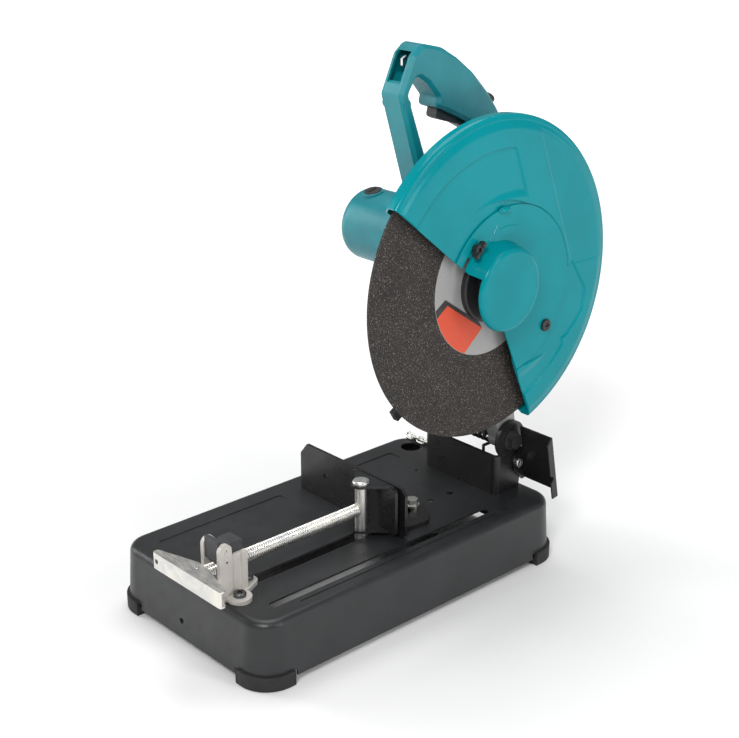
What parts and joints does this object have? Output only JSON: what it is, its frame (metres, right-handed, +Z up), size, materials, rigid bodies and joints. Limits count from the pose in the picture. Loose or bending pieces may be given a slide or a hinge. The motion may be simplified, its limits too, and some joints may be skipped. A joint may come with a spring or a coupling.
{
  "type": "abrasive chop saw",
  "caption": "Abrasive chop saw: a steel base with a screw vise and fence, and a sprung motor head that lowers a guarded cut-off wheel.",
  "frame": {"origin": "on the ground under the middle of the base", "axes": "+X to the operator's right, -Y towards the operator, +Z up"},
  "size_m": [0.2951, 0.5679, 0.619],
  "materials": {
    "base_paint": "satin dark grey powder coat",
    "black_paint": "satin black enamel",
    "rubber_black": "matte",
    "zinc_plate": "bright zinc plating",
    "dark_steel": "blackened",
    "spring_steel": "oiled spring wire",
    "cast_grey": "fine cast surface, clear lacquer",
    "bracket_iron": "light grey coating",
    "lever_plastic": "dark grey",
    "teal_plastic": "teal, fine texture",
    "handle_plastic": "teal, fine texture",
    "black_plastic": "matte",
    "guard_paint": "teal, semi-gloss",
    "abrasive": "coarse resin-bonded grit",
    "label_paper": "printed paper, no text",
    "flange_black": "black oxide",
    "bright_steel": "ground",
    "copper": "turned copper",
    "laminations": "stacked steel sheet",
    "carbon": "pressed carbon"
  },
  "bodies": {
    "base": {"base_pan": "base_paint", "corner_feet": "rubber_black", "pivot_bracket": "black_paint", "pedestal_bolts": "zinc_plate", "pivot_bolt": "dark_steel", "pivot_nut": "zinc_plate", "pivot_washers": "dark_steel", "torsion_spring": "spring_steel", "lock_chain": "zinc_plate", "vise_bracket": "bracket_iron", "bracket_screws": "dark_steel", "lever_pin": "bright_steel", "spark_guard_screw": "zinc_plate", "guide_bolts": "zinc_plate"},
    "head": {"arm_casting": "cast_grey", "arm_bushes": "bright_steel", "depth_stop": "black_paint", "stop_screw": "zinc_plate", "bearing_box": "cast_grey", "case_screws": "zinc_plate", "motor_housing": "teal_plastic", "stator": "laminations", "motor_bearings": "bright_steel", "brush_holders": "black_plastic", "carbon_brushes": "carbon", "brush_caps": "black_plastic", "spindle_bearings": "bright_steel", "wheel_guard": "guard_paint", "guard_screws": "zinc_plate", "cover_screw": "flange_black", "handle_left": "handle_plastic", "handle_right": "handle_plastic", "handle_screws": "dark_steel", "switch_body": "black_plastic", "chain_hook": "zinc_plate", "cord_inlet": "black_plastic"},
    "wheel": {"spindle": "bright_steel", "spindle_gear": "bright_steel", "inner_flange": "flange_black", "outer_flange": "flange_black", "abrasive_wheel": "abrasive", "wheel_label": "label_paper", "wheel_bolt": "zinc_plate"},
    "rotor": {"rotor_shaft": "bright_steel", "rotor_core": "laminations", "commutator": "copper", "cooling_fan": "black_plastic"},
    "centre_cover": {"centre_cover": "guard_paint"},
    "wing_bolt": {"wing_bolt": "flange_black"},
    "shaft_lock": {"shaft_lock": "black_plastic"},
    "trigger": {"trigger": "black_plastic"},
    "lock_button": {"lock_button": "black_plastic"},
    "spark_guard": {"spark_guard": "black_paint"},
    "guide": {"guide_plate": "black_paint"},
    "vise_carriage": {"vise_pin": "zinc_plate"},
    "vise_jaw": {"vise_plate": "black_paint"},
    "vise_spindle": {"vise_screw": "zinc_plate", "crank_handle": "zinc_plate", "crank_pin": "zinc_plate"},
    "nut_lever": {"nut_lever": "lever_plastic"}
  },
  "joints": [
    {"name": "head_hinge", "type": "hinge", "parent": "base", "child": "head", "pos_m": [0, 0.197, 0.145], "axis": [1, 0, 0], "range_deg": [0, 58.1], "stiffness_Nm_per_rad": 15.8, "springref_deg": -28.65},
    {"name": "wheel_spin", "type": "hinge", "parent": "head", "child": "wheel", "pos_m": [0.097, 0.12396, 0.36204], "axis": [1, 0, 0], "continuous": true},
    {"name": "rotor_spin", "type": "hinge", "parent": "head", "child": "rotor", "pos_m": [-0.07, 0.17341, 0.37094], "axis": [1, 0, 0], "continuous": true},
    {"name": "cover_hinge", "type": "hinge", "parent": "head", "child": "centre_cover", "pos_m": [0.112, 0.20696, 0.29754], "axis": [1, 0, 0], "range_deg": [-80, 0]},
    {"name": "wing_turn", "type": "hinge", "parent": "head", "child": "wing_bolt", "pos_m": [0.118, 0.08696, 0.41204], "axis": [1, 0, 0], "range_deg": [0, 360]},
    {"name": "shaft_lock_push", "type": "slide", "parent": "head", "child": "shaft_lock", "axis": [0, 1, 0], "range_m": [0, 0.004], "stiffness_N_per_m": 1200, "springref_m": -0.003},
    {"name": "trigger_pull", "type": "hinge", "parent": "head", "child": "trigger", "pos_m": [0.02, 0.16796, 0.52404], "axis": [1, 0, 0], "range_deg": [-7, 0], "stiffness_Nm_per_rad": 2, "springref_deg": 14.32},
    {"name": "lock_button_push", "type": "slide", "parent": "head", "child": "lock_button", "axis": [0, -0.7826, -0.6225], "range_m": [0, 0.003], "stiffness_N_per_m": 900, "springref_m": -0.003},
    {"name": "spark_guard_tilt", "type": "hinge", "parent": "base", "child": "spark_guard", "pos_m": [0.079, 0.2085, 0.112], "axis": [1, 0, 0], "range_deg": [-4, 5]},
    {"name": "guide_swivel", "type": "hinge", "parent": "base", "child": "guide", "pos_m": [0, 0.045, 0.08], "axis": [0, 0, 1], "range_deg": [0, 45]},
    {"name": "vise_slide", "type": "slide", "parent": "base", "child": "vise_carriage", "axis": [0, -1, 0], "range_m": [-0.004, 0.143]},
    {"name": "jaw_swivel", "type": "hinge", "parent": "vise_carriage", "child": "vise_jaw", "pos_m": [0.042, -0.013, 0.111], "axis": [0, 0, 1], "range_deg": [0, 45]},
    {"name": "crank_turn", "type": "hinge", "parent": "vise_carriage", "child": "vise_spindle", "pos_m": [0.042, -0.24, 0.111], "axis": [0, -1, 0], "range_deg": [-480, 17160]},
    {"name": "nut_lever_flip", "type": "hinge", "parent": "base", "child": "nut_lever", "pos_m": [0.042, -0.216, 0.135], "axis": [1, 0, 0], "range_deg": [0, 45]}
  ],
  "couplings": [
    {"joint": "rotor_spin", "follows": "wheel_spin", "ratio": -3.7857},
    {"joint": "jaw_swivel", "follows": "guide_swivel", "ratio": 1},
    {"joint": "vise_slide", "follows": "crank_turn", "m_per_rad": 0.00047746}
  ]
}
